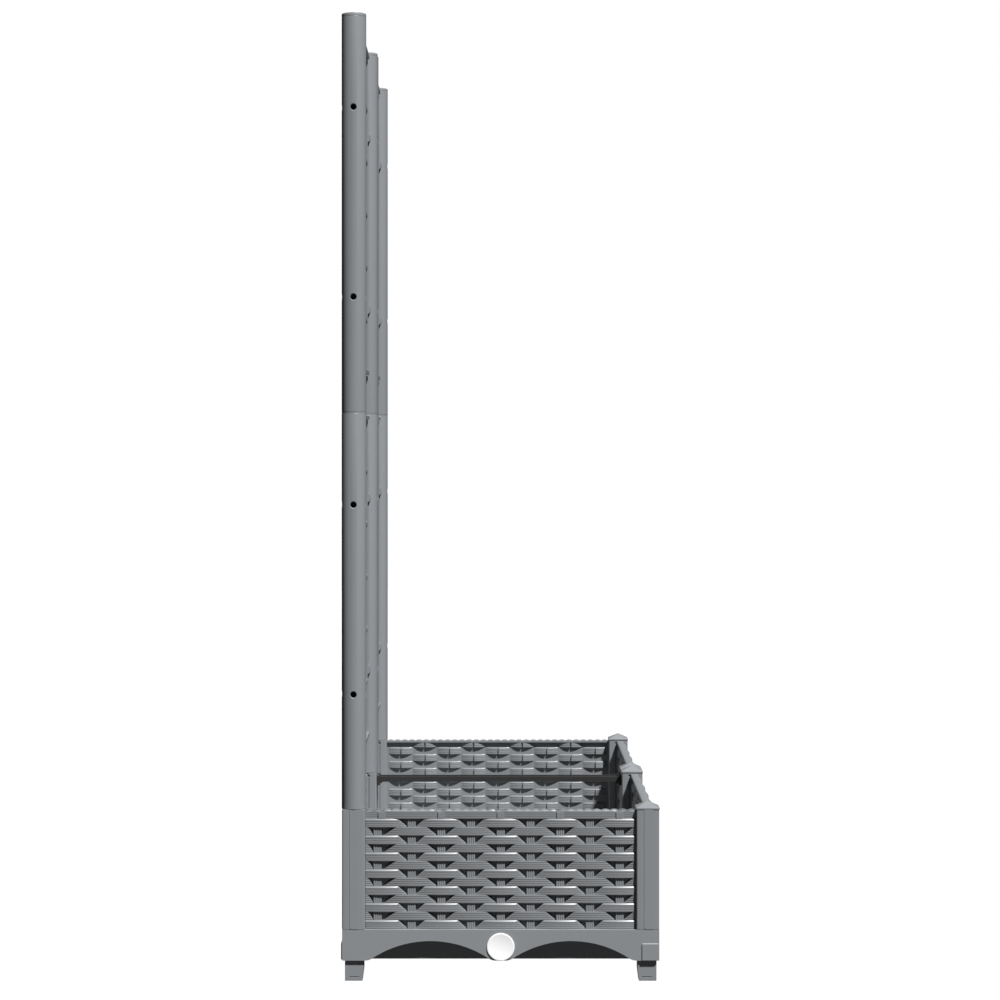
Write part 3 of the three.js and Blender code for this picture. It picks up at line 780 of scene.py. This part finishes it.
def cap_mesh():
    """A flat pyramid on a shallow skirt, about the post's middle."""
    half = (cap_high.x - cap_low.x) / 2
    base = POST_TOP + SEAT
    rings = []
    for size, z in ((half, base), (half, base + CAP_SKIRT), (CAP_TIP, cap_high.z - CAP_FLAT)):
        corner = min(CAP_CORNER, size * 0.9)
        rings.append([(u, v, z) for u, v in rounded_square(size, corner, steps=3)])
    return finished(made(lambda bm: loft(bm, rings)), "pyramid_cap", smooth_below=12)


# ------------------------------------------------------------ tie bar

TIE_WIDTH = 22.0
TIE_HEIGHT = 7.2
TIE_FLANGE = 2.6
TIE_CHANNEL_DEPTH = 4.6
TIE_HEAD_THICK = 4.0
TIE_HEAD_DROP = 3.2       # of the heads' top, below the top of the CAD's
TIE_DROP = 4.8            # and of the bar's
TIE_HEAD_MARGIN = 2.5     # of the head beyond its tongues
TIE_TONGUE_WIDTH = 4.0
TIE_GUSSET = 5.0


def tie_mesh():
    """A channel with a head at each end; the heads' tongues sit in the posts' slots."""
    low, high = box_mm("tie_bar")
    end = high.y - TONGUE
    head = end - TIE_HEAD_THICK
    head_top = high.z - TIE_HEAD_DROP
    top = high.z - TIE_DROP
    wide = TIE_WIDTH / 2
    inner = wide - TIE_FLANGE
    body = made(lambda bm: block(bm, -wide, wide, -end, end, top - TIE_HEIGHT, top))
    body = cut(body, lambda bm: block(bm, -inner, inner, -head, head,
                                      top - TIE_CHANNEL_DEPTH, top + 1))
    under = top - TIE_HEIGHT
    for side in (-1, 1):
        at = side * head
        gusset = [(at - side * TIE_GUSSET, under + 0.5), (at + side, under + 0.5),
                  (at + side, under - TIE_GUSSET * 0.7)]
        tongue = high.x - TIE_HEAD_MARGIN - TIE_TONGUE_WIDTH
        body = joined(
            body,
            lambda bm: block(bm, low.x, high.x, *sorted((at, side * end)), low.z, head_top),
            lambda bm: prism(bm, gusset, -wide + 0.5, wide - 0.5, along_x),
            lambda bm: block(bm, tongue, tongue + TIE_TONGUE_WIDTH,
                             *sorted((side * (end - 1), side * high.y)), low.z, head_top),
            lambda bm: block(bm, -tongue - TIE_TONGUE_WIDTH, -tongue,
                             *sorted((side * (end - 1), side * high.y)), low.z, head_top),
        )
    return finished(body, "tie_bar_look")


# ------------------------------------------------------------ trellis

TUBE_SIDES = 64
HOLE_SIDES = 28
TUBE_WALL = 2.2
SPIGOT_RADIUS = TUBE_RADIUS - TUBE_WALL - FIT   # of a collar or cap, inside the tube
SPIGOT_REACH = 38.0       # of a collar, each way
COLLAR_SINK = 0.05        # of a collar, inside the tube's round
COLLAR_GAP = 0.08
DOME_REACH = 14.0         # of a cap, down into its tube
DOME_PROUD = 0.02
DOME_RISE = 1.5           # of the cap's top above its side
DOME_SHARES = (0.88, 0.78, 0.66, 0.52, 0.38, 0.24, 0.1, 0.03)   # of its radius
HOLE_RADIUS = 3.9
HOLE_FLARE = 0.8
HOLE_HEIGHTS = (143.7, 381.2)
RAIL_HEIGHT = 5.0
RAIL_DEPTH = 10.0
STILE_WIDTH = 6.0
BAR_WIDTH = 4.0
BAR_DEPTH = 5.0
COLUMNS = 4
CELLS_HIGH = 6
PEG_COLLAR_RADIUS = 7.0
PEG_COLLAR_LENGTH = 3.0
PEG_REACH = 1.8           # past the tube's wall
LATTICE_LIFT = lattice_low.z - tube_low.z
LATTICE_TOP = lattice_high.z - tube_low.z
LATTICE_HALF = POST_MIDDLE - TUBE_RADIUS - SEAT - PEG_COLLAR_LENGTH


def tube_mesh():
    """One section standing on z = 0, with countersunk cross holes."""
    outer, inner = TUBE_RADIUS, TUBE_RADIUS - TUBE_WALL
    profile = [(outer - 0.3, 0), (outer, 0.4), (outer, TUBE_LENGTH - 0.6),
               (outer - 0.06, TUBE_LENGTH - 0.3), (outer - 0.25, TUBE_LENGTH),
               (inner, TUBE_LENGTH), (inner, 0)]
    body = made(lambda bm: lathe(bm, profile, TUBE_SIDES, closed=True))
    flare = [
        (HOLE_RADIUS + HOLE_FLARE, -outer - 1), (HOLE_RADIUS + HOLE_FLARE, -outer + 0.1),
        (HOLE_RADIUS, -outer + 0.9), (HOLE_RADIUS, outer - 0.9),
        (HOLE_RADIUS + HOLE_FLARE, outer - 0.1), (HOLE_RADIUS + HOLE_FLARE, outer + 1),
    ]
    for height in HOLE_HEIGHTS:
        for axis in ("X", "Y"):
            drill = made(lambda bm: lathe(bm, flare, HOLE_SIDES))
            turn = Matrix.Rotation(pi / 2, 4, axis)
            drill.transform(Matrix.Translation((0, 0, height)) @ turn)
            body = boolean(body, drill, "DIFFERENCE")
    return finished(body, "tube", smooth_below=25)


def collar_mesh():
    """The collar that parts two sections, with the spigots that hold them, about its middle."""
    half = SEAM_GAP / 2 - COLLAR_GAP
    inner, outer, reach = SPIGOT_RADIUS, TUBE_RADIUS - COLLAR_SINK, SPIGOT_REACH
    lower = [(inner - 1, -reach), (inner, 1 - reach), (inner, -half), (outer - 0.25, -half),
             (outer, -half + 0.2)]
    profile = lower + [(radius, -height) for radius, height in reversed(lower)]
    return finished(made(lambda bm: lathe(bm, profile, TUBE_SIDES)), "collar")


def dome_mesh():
    """The domed end cap, standing on the tube's top at z = 0."""
    edge = TUBE_RADIUS + DOME_PROUD
    top = dome_high.z - upper_high.z
    side = top - DOME_RISE
    inner, reach = SPIGOT_RADIUS, DOME_REACH
    profile = [(inner - 1, -reach), (inner, 1 - reach), (inner, 0.02), (edge - 0.2, 0.02),
               (edge, 0.2),
               (edge, side - 0.9), (edge - 0.27, side - 0.27), (edge - 0.9, side)]
    for share in DOME_SHARES:
        profile.append((edge * share, side + (top - side) * (1 - share ** 2)))
    return finished(made(lambda bm: lathe(bm, profile, TUBE_SIDES)), "tube_cap")


def grille(bm):
    """The plate of bars: one shell with a grid of rectangular openings."""
    low, high = LATTICE_LIFT + RAIL_HEIGHT, LATTICE_TOP - RAIL_HEIGHT
    cell_x = (2 * (LATTICE_HALF - STILE_WIDTH) + BAR_WIDTH) / COLUMNS
    cell_z = (high - low + BAR_WIDTH) / CELLS_HIGH
    xs, zs = [-LATTICE_HALF], [LATTICE_LIFT]
    for column in range(COLUMNS):
        start = -LATTICE_HALF + STILE_WIDTH + column * cell_x
        xs += [start, start + cell_x - BAR_WIDTH]
    for row in range(CELLS_HIGH):
        start = low + row * cell_z
        zs += [start, start + cell_z - BAR_WIDTH]
    xs.append(LATTICE_HALF)
    zs.append(LATTICE_TOP)

    def solid(i, j):
        return 0 <= i < len(xs) - 1 and 0 <= j < len(zs) - 1 and not (i % 2 and j % 2)

    front, back = [
        {(i, j): bm.verts.new((x, y, z)) for i, x in enumerate(xs) for j, z in enumerate(zs)}
        for y in (-BAR_DEPTH / 2, BAR_DEPTH / 2)
    ]
    for i in range(len(xs) - 1):
        for j in range(len(zs) - 1):
            if not solid(i, j):
                continue
            corners = [(i, j), (i + 1, j), (i + 1, j + 1), (i, j + 1)]
            bm.faces.new([front[c] for c in corners])
            bm.faces.new([back[c] for c in reversed(corners)])
            beyond = [(i, j - 1), (i + 1, j), (i, j + 1), (i - 1, j)]
            for side, (ni, nj) in enumerate(beyond):
                if not solid(ni, nj):
                    a, b = corners[side], corners[(side + 1) % 4]
                    bm.faces.new((front[b], front[a], back[a], back[b]))


def lattice_mesh():
    """One lattice about the bay's middle, with z = 0 at its tube section's lower end."""
    body = made(grille)
    half = LATTICE_HALF
    for low in (LATTICE_LIFT, LATTICE_TOP - RAIL_HEIGHT):
        body = joined(body, lambda bm: block(bm, -half, half, -RAIL_DEPTH / 2, RAIL_DEPTH / 2,
                                             low, low + RAIL_HEIGHT))
    for height in HOLE_HEIGHTS:
        for side in (-1, 1):
            near, collar_end = side * (half - 1), side * (half + PEG_COLLAR_LENGTH)
            tip = side * (half + PEG_COLLAR_LENGTH + TUBE_WALL + PEG_REACH)
            collar = rod_along_x(PEG_COLLAR_RADIUS, near, collar_end, height)
            peg = rod_along_x(HOLE_RADIUS - FIT, near, tip, height)
            body = joined(body, collar, peg)
    return finished(body, "lattice")


# ------------------------------------------------------------ assembly

tray = tray_mesh()
foot = foot_mesh()
plug = plug_mesh()
post = post_mesh()
cap = cap_mesh()
wall = finished(made(panel), "woven_panel", smooth_below=40)
tube = tube_mesh()
collar = collar_mesh()
dome = dome_mesh()
lattice = lattice_mesh()

CORNERS = ((1, 1), (-1, 1), (-1, -1), (1, -1))
for bay, sign in (("near", -1), ("far", 1)):
    x = sign * BAY_X
    outward = 0 if sign < 0 else 2
    place(f"{bay}_tray", tray, TRAY_GREY, x, turns=outward, edge=0.8)
    place(f"{bay}_drain_plug", plug, WHITE, x, turns=outward, body=f"{bay}_plug")
    place(f"{bay}_front_panel", wall, WEAVE_GREY, x)
    place(f"{bay}_back_panel", wall, WEAVE_GREY, x, turns=2)
    place(f"{bay}_end_panel", wall, WEAVE_GREY, x, turns=3 if sign < 0 else 1)
    for corner, (sx, sy) in enumerate(CORNERS):
        end = "outer" if sx == sign else "mid"
        name = f"{bay}_{end}_{'back' if sy > 0 else 'front'}"
        foot_middle = TRAY_HALF - FOOT_INSET - FOOT_SIDE / 2
        px, py = x + sx * POST_MIDDLE, sy * POST_MIDDLE
        place(f"{name}_foot", foot, GREY, x + sx * foot_middle, sy * foot_middle, turns=corner,
              edge=0.5)
        place(f"{name}_post", post, GREY, px, py, turns=corner, edge=0.2)
        if sy < 0:
            place(f"{name}_cap", cap, GREY, px, py, edge=0.3)
            continue
        place(f"{name}_lower_tube", tube, TUBE_GREY, px, py, tube_low.z)
        place(f"{name}_upper_tube", tube, TUBE_GREY, px, py, upper_low.z)
        place(f"{name}_coupler", collar, TUBE_GREY, px, py, upper_low.z - SEAM_GAP / 2)
        place(f"{name}_tube_cap", dome, TUBE_GREY, px, py, upper_low.z + TUBE_LENGTH)
        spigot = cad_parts[f"{name}_spigot"]   # the CAD's own solid stays, inside
        spigot.data.materials.clear()
        spigot.data.materials.append(GREY)
        pieces.append(spigot)
    place(f"{bay}_lower_lattice", lattice, TUBE_GREY, x, POST_MIDDLE, tube_low.z, edge=0.6)
    place(f"{bay}_upper_lattice", lattice, TUBE_GREY, x, POST_MIDDLE, upper_low.z, edge=0.6)

place("tie_bar", tie_mesh(), DARK, edge=0.8)

# ------------------------------------------------------------ floor, light and camera

FLOOR_HALF = 8.0          # in metres, as is the camera's place
scene = bpy.context.scene
scene.view_settings.view_transform = "Standard"


def collection_of(name, members):
    group = bpy.data.collections.new(name)
    for member in members:
        group.objects.link(member)
    return group


floor_mesh = bpy.data.meshes.new("floor")
floor_mesh.from_pydata(
    [(-FLOOR_HALF, -FLOOR_HALF, 0), (FLOOR_HALF, -FLOOR_HALF, 0),
     (FLOOR_HALF, FLOOR_HALF, 0), (-FLOOR_HALF, FLOOR_HALF, 0)], [], [(0, 1, 2, 3)])
floor = bpy.data.objects.new("floor", floor_mesh)
scene.collection.objects.link(floor)
paper = bpy.data.materials.new("pale_floor")
paper.use_nodes = True
matte = paper.node_tree.nodes["Principled BSDF"].inputs
matte["Base Color"].default_value = (0.9, 0.9, 0.9, 1)
matte["Roughness"].default_value = 0.9
matte["Specular IOR Level"].default_value = 0.0
floor_mesh.materials.append(paper)
floor.visible_diffuse = False
floor.visible_glossy = False
floor.visible_shadow = False

on_object = collection_of("lit_object", pieces)
on_floor = collection_of("lit_floor", [floor])


def sun(name, toward, energy, angle, receivers):
    """A distant light. toward points from the object to the light."""
    data = bpy.data.lights.new(name, "SUN")
    data.energy = energy
    data.angle = radians(angle)
    light = bpy.data.objects.new(name, data)
    scene.collection.objects.link(light)
    light.rotation_euler = Vector(toward).to_track_quat("Z", "Y").to_euler()
    light.light_linking.receiver_collection = receivers
    return light


KEY_LIGHT = (-0.45, -0.305, 0.85)
BACK_LIGHT = (0.97, 0.24, 0.0)   # level, so that the far wall shades the whole trough
BOUNCE_LIGHT = (-0.55, -0.1, -0.83)
DIM = 0.02

sun("key", KEY_LIGHT, 6.1, 4, on_object)
sun("back_fill", BACK_LIGHT, 4.6, 6, on_object).visible_glossy = False
sun("floor_bounce", BOUNCE_LIGHT, 0.4, 60, on_object).visible_glossy = False
sun("floor_wash", (0.0, 0.0, 1.0), 3.4, 20, on_floor).data.use_shadow = False
sun("floor_shade", (0.0, 0.0, 1.0), 0.4, 80, on_floor)

world = bpy.data.worlds.new("studio")
scene.world = world
world.use_nodes = True
nodes, links = world.node_tree.nodes, world.node_tree.links
ray = nodes.new("ShaderNodeLightPath")
seen = nodes.new("ShaderNodeMix")
seen.inputs[FLOAT_A].default_value = DIM
seen.inputs[FLOAT_B].default_value = 1.0
links.new(ray.outputs["Is Camera Ray"], seen.inputs[0])
links.new(seen.outputs[0], nodes["Background"].inputs["Strength"])
nodes["Background"].inputs["Color"].default_value = (1, 1, 1, 1)

FOCAL = 99.538            # in millimetres, as is the sensor
SENSOR = 36.0
CAMERA_SHIFT = (0.0152, -0.0715)
CAMERA_AT = (-3.8568, 0.0199, 0.6916)
camera_data = bpy.data.cameras.new("camera")
camera_data.lens = FOCAL
camera_data.sensor_width = SENSOR
camera_data.shift_x, camera_data.shift_y = CAMERA_SHIFT
camera = bpy.data.objects.new("camera", camera_data)
scene.collection.objects.link(camera)
camera.location = CAMERA_AT
camera.rotation_euler = (pi / 2, 0, -pi / 2)
scene.camera = camera
